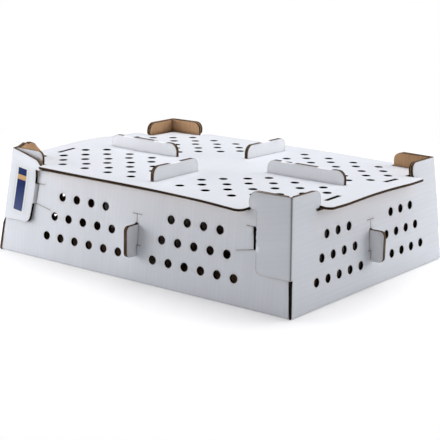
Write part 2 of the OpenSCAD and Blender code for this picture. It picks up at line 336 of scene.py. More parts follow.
class Look:  # the nodes of one material or world; node() adds any node
    def __init__(self, owner, end="ShaderNodeOutputMaterial"):
        owner.use_nodes = True
        self.owner, self.tree = owner, owner.node_tree
        self.tree.nodes.clear()
        self.end = self.tree.nodes.new(end)

    def node(self, kind, settings=None, inputs=(), output=0):
        made = self.tree.nodes.new(kind)
        for key, value in (settings or {}).items():
            setattr(made, key, value)
        pairs = inputs.items() if isinstance(inputs, dict) else enumerate(inputs)
        for key, value in pairs:
            if isinstance(value, Wire):
                self.tree.links.new(value.socket, made.inputs[key])
            else:
                made.inputs[key].default_value = value
        return Wire(self, made.outputs[output])

    def mix(self, share, first, second):  # colour between two colours
        return self.node("ShaderNodeMix", {"data_type": "RGBA"}, {0: share, 6: first, 7: second}, 2)

    def noise(self, vector, scale, detail=3.0, roughness=0.55):  # centred on 0
        return self.node("ShaderNodeTexNoise", {}, {
            "Vector": vector, "Scale": scale, "Detail": detail, "Roughness": roughness}) - 0.5

    def streaks(self, place, scale, seed, detail, roughness=0.55):  # noise drawn out along the flutes
        stretched = [part * size for part, size in zip(place, scale)]
        return self.noise(self.node("ShaderNodeCombineXYZ", {}, (*stretched, seed)), 1.0, detail, roughness)

    def spread(self, value, low, high):  # 0 at low, 1 at high
        return self.node("ShaderNodeMapRange", {}, {"Value": value, "From Min": low, "From Max": high})

    def part(self, vector, axis):  # one of a vector's three values
        return self.node("ShaderNodeSeparateXYZ", {}, (vector,), axis)

    def sheetPlace(self):  # across and along the flutes, in metres on a board's faces
        place = self.node("ShaderNodeUVMap", {"uv_map": "sheet"})
        return self.part(place, 0), self.part(place, 1)

    def objectPlace(self):
        return self.node("ShaderNodeTexCoord", {}, (), "Object")

    def attribute(self, name):
        return self.node("ShaderNodeAttribute", {"attribute_name": name}, (), "Fac")

    def surface(self, shader):  # to the output
        self.tree.links.new(shader.socket, self.end.inputs["Surface"])
        return self.owner

    def paper(self, colour, roughness, height, distance, specular):  # principled shader with a bump
        bump = self.node("ShaderNodeBump", {}, {"Strength": 1.0, "Distance": distance, "Height": height})
        return self.surface(self.node("ShaderNodeBsdfPrincipled", {}, {
            "Base Color": colour, "Roughness": roughness, "Normal": bump, "Specular IOR Level": specular}))


def shade(red, green, blue):  # screen colour, 0 to 255, as the linear colour that a socket takes
    value = np.array([red, green, blue]) / 255
    linear = np.where(value <= 0.04045, value / 12.92, ((value + 0.055) / 1.055) ** 2.4)
    return (*linear.tolist(), 1.0)


def whiteLook(name, settings):
    # White liner: flutes telegraph through as faint ridges, long streaks of tone run along them, and the cut
    # rim is soiled; a painted shadow line runs along the rim, and the creases darken, partly worn and partly
    # painted shade
    look = Look(bpy.data.materials.new(name))
    sheet, place, seed = look.sheetPlace(), look.objectPlace(), settings["seed"]
    drift = look.streaks(sheet, settings["driftScale"], seed, 2.0) + 0.5
    ridge = (sheet[0] * fluteTurn + drift * settings["waver"]).sin()
    streak = look.streaks(sheet, settings["streakScale"], seed, 4.0, 0.6)
    wide = look.streaks(sheet, settings["wideScale"], seed + 3, 3.0)
    cloud = look.noise(place, settings["cloudScale"])
    grain = look.noise(place, settings["grainScale"], 2.0, 0.7)
    wearAndShade, crease = look.attribute("rimWearAndShade"), look.attribute("creaseWearAndShade")
    tone = streak * settings["streak"] + wide * settings["wide"] + cloud * settings["cloud"]
    tone = tone + ridge * settings["ridge"]
    colour = look.mix(look.spread(tone, -0.5, 0.5), settings["dark"], settings["light"])
    soil = look.spread(wearAndShade * (1.1 + cloud), *settings["soilFrom"]) * settings["soil"]
    colour = look.mix(soil, colour, settings["soilColour"])
    # painted shadow line along the very edge of the cut rim
    line = look.spread(wearAndShade + streak * 0.1, *settings["lineFrom"]) * settings["line"]
    # the corner folds darken as well, partly from wear and partly as painted shade
    line = line.math("MAXIMUM", line, crease * (0.85 + cloud * 0.6))
    colour = look.mix(line, colour, settings["lineColour"])
    height = ridge * 0.5 + streak * 1.2 + wide * 2.2 + grain * 0.25
    rough = 0.56 + streak * 0.12 + cloud * 0.1
    return look.paper(colour, rough, height, settings["relief"] * mm, settings["specular"])


def kraftLook(name, settings):
    # Brown liner: flute ridges, streaks along them, and short pale and dark fibres; darker below the lid as
    # painted shade, with a painted shadow line beside the inner flaps
    look = Look(bpy.data.materials.new(name))
    sheet, place = look.sheetPlace(), look.objectPlace()
    ridge = (sheet[0] * fluteTurn).sin()
    streak = look.streaks(sheet, settings["streakScale"], 7.0, 4.0, 0.6)
    fibre = look.streaks(sheet, settings["fibreScale"], 2.0, 3.0, 0.7)
    cloud = look.noise(place, settings["cloudScale"], 4.0)
    tone = streak * settings["streak"] + fibre * settings["fibre"] + cloud * settings["cloud"]
    tone = tone + ridge * settings["ridge"]
    colour = look.mix(look.spread(tone, -0.5, 0.5), settings["dark"], settings["light"])
    # painted shade: darker below the lid, by height
    deep = look.spread(look.part(place, 2), *settings["insideShadeFrom"]) * settings["deep"]
    colour = look.mix(deep, colour, settings["insideShadeColour"])
    # painted shadow line beside the inner flap
    colour = look.mix(look.attribute("creaseWearAndShade") * settings["crease"], colour, settings["creaseShadowColour"])
    height = ridge * 0.5 + streak + fibre * 0.6
    return look.paper(colour, 0.8 + fibre * 0.15, height, settings["relief"] * mm, settings["specular"])


def rimLook(name, settings):
    # Cut edge: two liners with the wavy medium between them, dark where the flutes are open. The map holds
    # the place across the flutes and the depth, so a cut along them shows no wave
    look = Look(bpy.data.materials.new(name))
    across, depth = look.sheetPlace()
    place, layers = look.objectPlace(), settings["layers"]
    ragged = look.noise(place, settings["raggedScale"], 3.0, 0.65)
    cloud = look.noise(place, settings["cloudScale"])
    if layers > 1:
        depth = depth.math("PINGPONG", depth, 1 / layers) * layers  # one board behind another
    wave = (across * fluteTurn + cloud * 2.0).sin() * settings["waveHeight"] + 0.5
    mediumGap = abs(depth + ragged * 0.12 - wave)
    linerGap = 0.5 - abs(depth - 0.5) + ragged * 0.06
    medium = 1 - look.spread(mediumGap, *settings["medium"])
    liner = 1 - look.spread(linerGap, *settings["liner"])
    solid = medium.math("MAXIMUM", medium * 0.8, liner)
    tone = look.spread(solid + cloud * 0.5 + ragged * 0.4, 0.0, 1.0)
    colour = look.mix(tone, settings["void"], settings["paper"])
    height = solid + ragged * 0.5
    return look.paper(colour, 0.9 + ragged * 0.1, height, settings["relief"] * mm, settings["specular"])


whiteSettings = {
    "light": shade(233, 236, 243), "dark": shade(219, 222, 230), "specular": 0.35, "seed": 1.0,
    "streak": 0.55, "wide": 0.6, "cloud": 0.3, "ridge": 0.05, "waver": 5.0, "relief": 0.065,
    "driftScale": (9.0, 5.0), "streakScale": (210.0, 7.0), "wideScale": (34.0, 2.5),
    "cloudScale": 7.0, "grainScale": 900.0,
    "soil": 0.4, "soilFrom": (0.55, 1.5), "soilColour": shade(176, 168, 158),
    # line, lineFrom and lineColour: a painted shadow line along the cut rims
    "line": 0.55, "lineFrom": (0.86, 0.99), "lineColour": shade(112, 108, 106),
}
lidSettings = dict(whiteSettings, light=shade(230, 233, 240), dark=shade(223, 225, 233),
                   streak=0.35, relief=0.08, seed=5.0)
dividerSettings = dict(whiteSettings, light=shade(248, 249, 252), dark=shade(239, 241, 246), seed=9.0)
kraftSettings = {
    "light": shade(212, 172, 132), "dark": shade(172, 133, 97), "specular": 0.25, "relief": 0.2,
    "streak": 0.9, "fibre": 0.8, "cloud": 0.7, "ridge": 0.05,
    "streakScale": (240.0, 12.0), "fibreScale": (900.0, 260.0), "cloudScale": 11.0,
    # painted shade: the kraft darkens below the lid, from 0.146 m down to 0.12 m
    "deep": 0.72, "insideShadeFrom": (0.146, 0.12), "insideShadeColour": shade(70, 50, 36),  # heights in metres
    # crease and its colour: the painted shadow line beside the inner flaps
    "crease": 0.9, "creaseShadowColour": shade(48, 32, 22),
}
rimSettings = {
    "void": shade(44, 31, 22), "paper": shade(150, 122, 96), "specular": 0.1, "relief": 0.7, "layers": 1,
    "medium": (0.04, 0.18), "liner": (0.05, 0.12), "waveHeight": 0.36,
    "raggedScale": 420.0, "cloudScale": 60.0,
}

trayWhite = whiteLook("trayWhite", whiteSettings)
lidWhite = whiteLook("lidWhite", lidSettings)
dividerWhite = whiteLook("dividerWhite", dividerSettings)
kraft = kraftLook("kraft", kraftSettings)
cutRim = rimLook("cutRim", rimSettings)
lidRim = rimLook("lidRim", dict(rimSettings, void=shade(26, 18, 13), paper=shade(122, 96, 74)))
doubleRim = rimLook("doubleRim", dict(rimSettings, layers=2))
# near-black cut edge: painted shade for edges in dark gaps and hidden tongue faces; on hole rims partly
# crushed edge, partly painted shade
darkRim = rimLook("darkRim", dict(rimSettings, void=shade(12, 10, 8), paper=shade(40, 32, 26)))
print("materials ready")


# Tray: one blank, laid flat as (p, q) with the floor in the middle, then folded

tray = {
    "flapFoot": 58.0, "flapRadius": 12.0, "tongueFoot": 92.0, "tongueHeight": 34.0, "tongueLength": 47.0,
    "tongueEar": 12.0, "slitLength": 10.0, "slitLeft": (15.0, 10.5), "slitNear": (8.5, 5.5),
    "slotTaper": 2.0, "doorDrop": 6.0, "doorLength": 31.0, "doorTop": 12.0, "tickLength": 19.0,
    "wallPitch": 31.75, "rowFoot": 42.0, "rowStep": 34.7, "sideGroup": 0.38, "endGroup": 0.42,
    "sideRows": (6, 5, 4), "endRows": (5, 4, 3),
    "headBottomRadius": 9.0, "headStep": 3.0, "stepRadius": 2.0, "neckRadius": 2.5, "topRadius": 4.0,
    "rootRadius": 2.0, "earInRadius": 5.0, "earOutRadius": 9.0, "cutRadius": 1.0, "floorRadius": 0.5,
    "relief": 0.3, "notch": 1.0, "innerThickness": 3.0, "cornerGap": 3.0,
    "foldRows": 7, "lineRows": (-3.0, -1.5, 0.0, 1.5, 3.0), "foldStep": 5.0, "flapStep": 4.0,
    "foldClear": 2.0, "bendPoints": (12, 8), "tongueBend": 7.0, "nearBend": 3.0,
    "tongueClear": 4.0, "flapClear": 20.0,
    # tongueHidden, hiddenClear, gloomAbove and gloomOff place where the near-black look goes as painted shade
    "tongueHidden": 26.0, "hiddenClear": 8.0, "gloomAbove": 2.0, "gloomOff": 12.0,
    # innerLine and lineWidth place the painted shadow line beside the inner flap; creaseWidth sets the fold
    # line, partly worn and partly painted shade
    "innerLine": 12.0, "lineWidth": 2.2, "creaseWidth": 1.3, "pressReach": 4.0, "pressFrom": 6.0,
    "swell": (0.5, 61.0, 0.7, 47.0),  # depth, length along, shift, length up
    "ripple": (0.35, 27.0, 80.0),  # depth, length along, length up
    "swellBand": (8.0, 30.0), "flapBand": (5.0, 20.0),  # a band is where a change starts and how far it takes
    "doorLift": 1.2, "doorCurve": 1.6, "doorClear": 1.0, "nearTurn": 4.4,
    "flare": 7.0, "smallFlare": 1.0, "flareBand": (128.0, 50.0),
    "flareLow": 1.6, "smallFlareLow": 0.7, "flareLowBand": (88.0, -26.0),  # minus: downwards
    "springCurve": 1.6, "springLimit": 1.3, "flapStretch": 1.05,
    "headCrush": 13.0, "crushBand": (140.0, 40.0), "postRise": 1.8, "postBand": (150.0, 25.0),
    # distance from the corner, and how far the leg's top is pressed down there
    "legCrush": ((0, 12, 28, 40, 46, 58, 66, 75), (0, -1.0, -3.5, -1.5, -2.5, -2.0, -0.5, 2.0)),
    "legBack": 9.0, "backBand": (2.0, 34.0), "legShort": 14.0, "shortBand": (20.0, 52.0),
    # step, slope at the front, slope at the back
    "driftLeft": (4.0, 0.005, 0.0), "driftRight": (0.7, 0.033, 0.013), "driftBand": (46.0, 16.0),
    "wallDrift": 0.016, "wallDriftBand": (95.0, -70.0),
}

sideTop, sidePost = box["wallTop"] / cosSide, box["postTop"] / cosSide
endTop, endPost = box["wallTop"] / cosEnd, box["postTop"] / cosEnd
sideTurn, endTurn = math.pi / 2 + box["sideLean"], math.pi / 2 + box["endLean"]
tongueV = tray["tongueFoot"] / cosSide
tongueU = sideCorner(tongueV + tray["tongueHeight"] / 2) - box["legLength"]
sideInset = board["thickness"] / cosEnd + board["gap"]  # a long wall stops at the end wall's inner face

# Fold line of the corner flaps: on the end wall's outer face, a layer outside the long wall
slant = cosEnd * tanSide
slantLength = math.hypot(1, slant)
foldStart = halfWidth + layer / cosSide
upEnd = np.array([-sinEnd, 0, cosEnd])
yAxis = np.array([0.0, 1.0, 0.0])
sideNormal = np.array([0, cosSide, sinSide])
foldOrigin = np.array([halfLength, foldStart, 0])
foldAxis = (upEnd - slant * yAxis) / slantLength
foldFrom = (yAxis + slant * upEnd) / slantLength  # towards the flap, in the end wall
foldTo = np.cross(foldAxis, sideNormal)
foldTo = foldTo * -np.sign(foldTo[0])  # towards the flap's loose edge, in the flap
flapTurn = math.acos(foldFrom @ foldTo)
foldSide = (foldTo - math.cos(flapTurn) * foldFrom) / math.sin(flapTurn)


def foldPath(s, turn):  # straight up to the corner, an arc of the fold radius, straight again
    radius = board["foldRadius"]
    reach = radius * math.tan(turn / 2)
    angle = np.clip((s + reach) / (2 * reach), 0, 1) * turn
    past = np.maximum(s - reach, 0)
    return (np.minimum(s, -reach) + radius * np.sin(angle) + past * math.cos(turn),
            radius * (1 - np.cos(angle)) + past * math.sin(turn))


def flapFlat(u, v):  # point of a flap, u along and v up the long wall, as a flat place on the blank
    y, z = halfWidth - v * sinSide + layer * cosSide, v * cosSide + layer * sinSide
    place = np.stack([u, y, z], -1) - foldOrigin
    along, off = place @ foldAxis, place @ foldTo
    return (halfLength + (along + slant * off) / slantLength, foldStart + (off - slant * along) / slantLength)


def flapPlace(p, q):  # along the fold line and away from it
    return (((p - halfLength) - slant * (q - foldStart)) / slantLength,
            (slant * (p - halfLength) + (q - foldStart)) / slantLength)


def legHead(corner, high):  # head of a post's leg: its lower height, the leg's edge there and the head's tip
    low = high - 2 * box["headRadius"]
    edge = corner(low) - box["legLength"]
    tip = corner(high - box["headRadius"]) - box["legLength"] - box["headRadius"]
    return low, edge, tip


def blankQuarter():  # from the middle of an end wall's top to the middle of a long wall's top: p, q, radius
    flapLow, flapHigh = tray["flapFoot"] / cosSide, sidePost
    low, edge, tip = legHead(endCorner, endPost)
    points = [
        (halfLength + endTop, endCorner(endTop) - box["legLength"], tray["topRadius"]),
        (halfLength + low, edge, tray["neckRadius"]),
        (halfLength + low, tip, tray["headBottomRadius"]),
        (halfLength + endPost, tip, box["headRadius"]),
    ]
    low, edge, tip = legHead(sideCorner, flapHigh)
    tongueTop = tongueV + tray["tongueHeight"]
    tongueTip = tongueU - tray["tongueLength"]
    tongueNeck = tongueU - tray["slitLength"] - layer
    flap = [
        (tip, flapHigh, box["headRadius"]),
        (tip, low, tray["headBottomRadius"]),
        (edge, low, tray["neckRadius"]),
        (sideCorner(tongueTop) - box["legLength"], tongueTop, tray["rootRadius"]),
        (tongueNeck, tongueTop, tray["cutRadius"]),
        (tongueNeck, tongueTop + tray["tongueEar"], tray["earInRadius"]),
        (tongueTip, tongueTop + tray["tongueEar"], tray["earOutRadius"]),
        (tongueTip, tongueV - tray["tongueEar"], tray["earOutRadius"]),
        (tongueNeck, tongueV - tray["tongueEar"], tray["earInRadius"]),
        (tongueNeck, tongueV, tray["cutRadius"]),
        (sideCorner(tongueV) - box["legLength"], tongueV, tray["rootRadius"]),
        (sideCorner(flapLow) - box["legLength"], flapLow, tray["flapRadius"]),
    ]
    flapEnd, wrap = tray["flapFoot"] / cosEnd, layer / cosSide
    points.append((halfLength + endPost, endCorner(endPost) + wrap, 0.0))
    points += [(*flapFlat(u, v), r) for u, v, r in flap]
    points += [
        (halfLength + flapEnd, endCorner(flapEnd) + wrap, 0.0),
        (halfLength + flapEnd, endCorner(flapEnd), tray["cutRadius"]),
        (halfLength, halfWidth, tray["floorRadius"]),
    ]
    wall = halfLength - sideInset
    notch = halfWidth - board["foldRadius"] * math.tan(sideTurn / 2) - tray["notch"]
    points += [
        (wall + 2 * tray["relief"], halfWidth, 0.0),
        (wall + 2 * tray["relief"], notch, 0.0),
        (wall, notch, 0.0),
        (wall, halfWidth, 0.0),
        (sideCorner(sidePost) - sideInset, halfWidth + sidePost, tray["cutRadius"]),
    ]
    low, _, tip = legHead(sideCorner, sidePost)
    step = tip + tray["headStep"]
    points += [
        (tip, halfWidth + sidePost, box["headRadius"]),
        (tip, halfWidth + low, tray["stepRadius"]),
        (step, halfWidth + low, tray["stepRadius"]),
        (step, halfWidth + sideTop, tray["topRadius"]),
    ]
    return points


def wallVents(middle, rows):  # holes on one half of a wall: distance from its middle, height up the slope
    return [(middle + (i - (count - 1) / 2) * tray["wallPitch"], tray["rowFoot"] + r * tray["rowStep"])
            for r, count in enumerate(rows) for i in range(count)]


def hookSlot(lean):  # open round the hook, shut to a knife cut above it, with a tick across each end
    low = box["slotFoot"] / math.cos(lean)
    high = (box["slotFoot"] + box["slotHeight"]) / math.cos(lean)
    root = (box["slotFoot"] + box["hookRoot"] + 2 * box["fitGap"]) / math.cos(lean)
    cut, tick = board["cutWidth"], tray["tickLength"] / 2
    wide = box["dividerThickness"] / 2 + box["fitGap"]
    half = [(tick, low), (tick, low + cut), (wide, low + cut), (wide, root),
            (cut / 2, root + tray["slotTaper"]), (cut / 2, high - cut), (tick, high - cut), (tick, high)]
    return np.array(half + [(-a, b) for a, b in reversed(half)])


def tongueSlit(topLength, footLength):  # a tongue's slit and its spring door's cuts, on a wall's right half
    low, high = tongueV - box["fitGap"], tongueV + tray["tongueHeight"] + box["fitGap"]
    right, top, left = (tongueU - length for length in (-box["fitGap"], topLength, footLength))
    upper, lower, cut = top - tray["doorTop"], left - tray["doorLength"], board["cutWidth"]
    fall = low - tray["doorDrop"]
    return np.array([(right, low), (right, high), (upper, high), (upper, high - cut), (top, high - cut),
                     (left, low + cut), (lower, fall + cut), (lower, fall), (left, low)])


def blankLoops():
    loops = [wholeLoop(blankQuarter())]
    for side in (-1, 1):
        loops.append(hookSlot(box["sideLean"]) * (1, side) + (0, side * halfWidth))
        loops.append(hookSlot(box["endLean"])[:, ::-1] * (side, 1) + (side * halfLength, 0))
        for u, v in wallVents(tray["sideGroup"] * halfLength, tray["sideRows"]):
            loops += [ventLoop(end * u, side * (halfWidth + v)) for end in (-1, 1)]
        for u, v in wallVents(tray["endGroup"] * halfWidth, tray["endRows"]):
            loops += [ventLoop(side * (halfLength + v), end * u) for end in (-1, 1)]
        for end in (-1, 1):
            plain = (tray["slitLength"], tray["slitLength"])
            lengths = plain if side > 0 else tray["slitLeft"] if end < 0 else tray["slitNear"]
            loops.append(tongueSlit(*lengths) * (end, side) + (0, side * halfWidth))
    return loops


def foldLines():  # rows of points along every fold and across the tongues' bends
    reach, clear = board["foldRadius"] * math.tan(sideTurn / 2), tray["foldClear"]
    steps = np.linspace(-reach, reach, tray["foldRows"])
    steps = np.concatenate([steps, np.array(tray["lineRows"]) - tray["innerLine"]])
    lines = []
    x = np.arange(-halfLength + sideInset, halfLength - sideInset, tray["foldStep"])
    y = np.arange(-halfWidth + clear, halfWidth - clear, tray["foldStep"])
    up = np.arange(tray["flapFoot"] + clear, endPost, tray["flapStep"])
    bend = np.linspace(tongueU + clear, tongueU - tray["slitLength"] - clear, tray["bendPoints"][0])
    rise = tongueV + np.linspace(0, tray["tongueHeight"], tray["bendPoints"][1])
    for s in steps:
        for side in (-1, 1):
            lines.append(np.stack([x, np.full(len(x), side * (halfWidth + s))], 1))
            lines.append(np.stack([np.full(len(y), side * (halfLength + s)), y], 1))
            for end in (-1, 1):
                p = halfLength + (up + slant * s) / slantLength
                q = foldStart + (s - slant * up) / slantLength
                lines.append(np.stack([end * p, side * q], 1))
    tongue = np.array([flapFlat(u, v) for u in bend for v in rise])
    lines += [tongue * sign for sign in ((1, 1), (1, -1), (-1, 1), (-1, -1))]
    return np.concatenate(lines)


def wallWarp(x, z):  # swell of a long wall: a slow sine along it times one up it, plus a slanting ripple
    deep, lengthX, shift, lengthZ = tray["swell"]
    fine, fineX, fineZ = tray["ripple"]
    return deep * np.sin(x / lengthX + shift) * np.sin(z / lengthZ) + fine * np.sin(x / fineX + z / fineZ)


def endDrift(signX, y, z):  # lean of an end wall towards +X: a step low down, then a slope, less at the back
    sides = zip(tray["driftLeft"], tray["driftRight"])
    step, slopeFront, slopeBack = (np.where(signX < 0, left, right) for left, right in sides)
    front = 0.5 - y / (2 * halfWidth)
    slope = slopeBack + (slopeFront - slopeBack) * front
    return step * ramp(z, *tray["driftBand"]) * front ** 2 + z * slope


def postRise(signY, z):  # the front posts stand a little higher than the blank's plain size
    return np.where(signY < 0, tray["postRise"], 0) * ramp(z, *tray["postBand"])


def crushLeg(signX, signY, fromCorner, z):  # the left front post's end leg: pressed, bent back and drawn in
    share = np.where((signX < 0) & (signY < 0), ramp(z, *tray["postBand"]), 0)
    drop = np.interp(fromCorner, *tray["legCrush"])
    back = tray["legBack"] * ramp(fromCorner, *tray["backBand"])
    short = tray["legShort"] * ramp(fromCorner, *tray["shortBand"])
    return drop * share - postRise(signY, z), back * share, short * share


def sideWalls(p, q, signX, signY):  # floor and long walls follow the fold path across q; spring doors lift
    run, rise = foldPath(q - halfWidth, sideTurn)
    swell = wallWarp(signX * p, rise) * ramp(rise, *tray["swellBand"])
    left = tongueU - tray["slitLength"]
    onDoor = (q > halfWidth + tongueV) & (q < halfWidth + tongueV + tray["tongueHeight"])
    onDoor = onDoor & (p < left + tray["doorClear"])
    doorShare = np.clip((p - left + tray["doorLength"]) / tray["doorLength"], 0, 1)
    swell = swell + np.where(onDoor, tray["doorLift"] * doorShare ** tray["doorCurve"], 0)
    place = np.stack([p, halfWidth + run, rise], 1) + swell[:, None] * sideNormal
    nearEnd = ramp(sideCorner(rise / cosSide) - p, *tray["wallDriftBand"]) * (rise > 0)
    place[:, 0] -= np.where((signX < 0) & (signY < 0), tray["wallDrift"] * rise, 0) * nearEnd
    place[:, 2] += postRise(signY, rise)
    return place


def endWalls(p, q, signX, signY):  # end walls follow the fold path across p
    run, rise = foldPath(p - halfLength, endTurn)
    drop, back, short = crushLeg(signX, signY, endCorner(rise / cosEnd) - q, rise)
    place = np.stack([halfLength + run + back, q + short, rise - drop], 1)
    place[:, 0] += signX * endDrift(signX, signY * q, rise)
    return place


def cornerFlaps(p, q, signX, signY):  # turned about their fold line, sprung out, with the tongues tucked in
    along, off = flapPlace(p, q)
    crushed, near = (signX < 0) & (signY < 0), (signX > 0) & (signY < 0)
    stretch = np.where(crushed, tray["flapStretch"], 1)
    run, out = foldPath(off * stretch, flapTurn)
    flap = foldOrigin + along[:, None] * foldAxis + run[:, None] * foldFrom + out[:, None] * foldSide
    height = (flap[:, 2] - layer * sinSide) / cosSide
    beyond = tray["tongueEar"] + tray["tongueClear"]
    onTongue = (height > tongueV - beyond) & (height < tongueV + tray["tongueHeight"] + beyond)
    edge = sideCorner(height) - box["legLength"] * stretch
    bendLength = np.where(near, tray["nearBend"], tray["tongueBend"])
    tucked = np.where(onTongue, smooth((edge - flap[:, 0]) / bendLength), 0)  # 1 where through the slit
    spring = np.clip(off / box["legLength"], 0, tray["springLimit"])
    topFlare = np.where(crushed, tray["flare"], tray["smallFlare"])
    lowFlare = np.where(crushed, tray["flareLow"], tray["smallFlareLow"])
    flare = topFlare * ramp(height, *tray["flareBand"]) + lowFlare * ramp(height, *tray["flareLowBand"])
    turn = np.where(near, tray["nearTurn"] * np.minimum(spring, 1), 0) * (1 - tucked)
    lift = turn - 2 * layer * tucked + spring ** tray["springCurve"] * flare
    lift = lift + wallWarp(signX * p, flap[:, 2]) * ramp(off, *tray["flapBand"])
    drift = signX * endDrift(signX, signY * flap[:, 1], flap[:, 2])
    drop = np.where(crushed, tray["headCrush"] * spring * ramp(height, *tray["crushBand"]), 0)
    flap = flap + lift[:, None] * sideNormal
    flap[:, 0] += drift
    flap[:, 2] += postRise(signY, flap[:, 2]) - drop
    return flap


def foldTray(flat):  # one quarter's folds, mirrored to the place of each point
    p, q = np.abs(flat).T
    signX, signY = np.sign(flat).T
    onEnd = p > halfLength - sideInset + tray["relief"]
    pastFold = flapPlace(p, q)[1] > -board["foldRadius"] * math.tan(flapTurn / 2)
    onFlap = onEnd & pastFold & (p > halfLength + tray["flapFoot"] - tray["flapClear"])
    place = np.where(onEnd[:, None], endWalls(p, q, signX, signY), sideWalls(p, q, signX, signY))
    place = np.where(onFlap[:, None], cornerFlaps(p, q, signX, signY), place)
    return place * np.stack([signX, signY, np.ones(len(p))], 1)


def trayGloom(flat):  # cut edges given the near-black rim as painted shade, where they stand in a dark gap: the lower corners of the end walls, and the flaps' free edges
    p, q = np.abs(flat).T
    off = flapPlace(p, q)[1]
    low = p < halfLength + tray["flapFoot"] + tray["gloomAbove"]
    corner = (p > halfLength - 2 * layer) & (q > halfWidth - 2 * layer) & low
    corner = corner & ((flat[:, 0] > 0) | (flat[:, 1] > 0))  # the left front one stands open
    flapEdge = (off > tray["gloomOff"]) & (p < halfLength + box["wallTop"]) & (p > halfLength)
    return corner | flapEdge


def trayCrease(flat):  # line down each corner's fold, partly worn and partly painted shade, and inside it the dark line beside the inner flap, a painted shadow
    p, q = np.abs(flat).T
    off = flapPlace(p, q)[1]
    onPost = p > halfLength + tray["flapFoot"]
    foldWearAndShade = np.exp(-(off / tray["creaseWidth"]) ** 2)
    line = np.exp(-((off + tray["innerLine"]) / tray["lineWidth"]) ** 2)
    return foldWearAndShade * onPost, line * onPost


def hiddenTongue(flat):  # a tongue's face inside the box, painted near black as shade: from its bend at the right front, else further in
    p, q = np.abs(flat).T
    along, off = flapPlace(p, q)
    height = along - tray["tongueFoot"]
    near = (flat[:, 0] > 0) & (flat[:, 1] < 0)
    inside = off > box["legLength"] + np.where(near, tray["nearBend"], tray["tongueHidden"])
    beyond = tray["tongueEar"] + tray["hiddenClear"]
    onTongue = (height > -beyond) & (height < tray["tongueHeight"] + beyond)
    return inside & onTongue & (p < halfLength + box["wallTop"] - tray["hiddenClear"])


def trayThickness(flat):  # pressed thin along the folds, by a bell of the distance to the nearest one
    p, q = np.abs(flat).T
    off = flapPlace(p, q)[1]
    onEnd = p > halfLength - sideInset + tray["relief"]
    onPost = onEnd & (p > halfLength + tray["flapFoot"] - tray["pressFrom"])
    fold = np.where(onEnd, np.abs(p - halfLength), np.abs(q - halfWidth))
    fold = np.where(onPost, np.minimum(fold, np.abs(off)), fold)
    pressed = (board["thickness"] - board["foldThickness"]) * np.exp(-(fold / tray["pressReach"]) ** 2)
    return board["thickness"] - pressed


traySheet = boardSheet(blankLoops(), foldTray, trayThickness, foldLines(), faceDown=True, gloom=trayGloom)
trayPiece = boardMesh("folded_tray", traySheet, (trayWhite, kraft, cutRim, darkRim), trayCrease, hiddenTongue)
standFor(trayPiece, "tray", "box")


# Inner flaps: folded from the long walls, they double the end walls' post legs on the inside

def innerFlap():  # outline, as distance along the end wall and height up its slope
    low, edge, tip = legHead(endCorner, endPost)
    foot = tray["flapFoot"] / cosEnd
    inset = board["thickness"] / cosSide + tray["cornerGap"]
    return rounded([
        (endCorner(foot) - inset, foot, tray["cutRadius"]),
        (endCorner(endPost) - inset, endPost, tray["cutRadius"]),
        (tip, endPost, box["headRadius"]),
        (tip, low, tray["headBottomRadius"]),
        (edge, low, tray["neckRadius"]),
        (endCorner(foot) - box["legLength"], foot, tray["topRadius"]),
    ])


def lineLeg(signX, signY):  # a layer inside the end wall, with the same lean and the same crush
    def place(flat):
        q, v = flat.T
        z = v * cosEnd
        drop, back, short = crushLeg(signX, signY, endCorner(v) - q, z)
        x = halfLength - v * sinEnd - layer * cosEnd + back + signX * endDrift(signX, signY * q, z)
        return np.stack([signX * x, signY * (q + short), z - layer * sinEnd - drop], 1)
    return place


thin = even(tray["innerThickness"])
for signX, signY in ((-1, -1), (-1, 1), (1, -1), (1, 1)):
    sheet = boardSheet([innerFlap()], lineLeg(signX, signY), thin, faceDown=signX * signY < 0)
    name = "inner_flap_" + ("left" if signX < 0 else "right") + ("_front" if signY < 0 else "_back")
    standFor(boardMesh(name, sheet, (trayWhite, kraft, cutRim, darkRim)), "tray", "box")


# Lid: a flat sheet, bowed

lid = {
    "foot": 149.3, "thickness": 4.4, "overEnd": 24.0, "overSide": 18.0,
    "earFlare": 7.0, "earRoot": 3.0, "earRadius": 14.0, "cornerRadius": 10.0,
    "neckInset": 2.5, "neckRadius": 12.0, "recessRadius": 3.0, "recessCornerRadius": 4.0,
    "stepX": 25.4, "stepY": 28.0, "rowFirst": 37.0,
    "first": (5, 4, 3, 2, 3, 2), "last": (9, 10, 9, 10, 9, 8),  # columns of each row's end holes
    "oddInset": 3.0, "oddColumns": (3, 5, 7),
    "slotMiddle": 88.0, "slotLength": 40.0, "gripIn": 9.5, "gripWidth": 7.0,
    "tabStarts": (97.0, 70.0), "tabLengths": (149.0, 114.0),
    "halfX": 312.0, "halfY": 233.0, "rise": 3.4, "dropSide": 2.6, "dropEnd": 3.0,
    "archLeft": 6.0, "archRight": 3.0, "archBand": (0.55, 0.5), "archWidth": 160.0,
    "earLift": 1.8, "earBand": (0.85, 0.15), "earSide": (90.0, 50.0),
    "wave": (0.5, 49.0, 1.1), "waveBand": (0.6, 0.4),  # depth, length, shift
    "curl": 5.4, "curlLength": 460.0, "curlCurve": 0.7, "curlBand": (176.0, 52.0),
    "cornerDip": 2.2, "dipAcross": (130.0, 90.0), "dipFront": (170.0, 50.0),
}


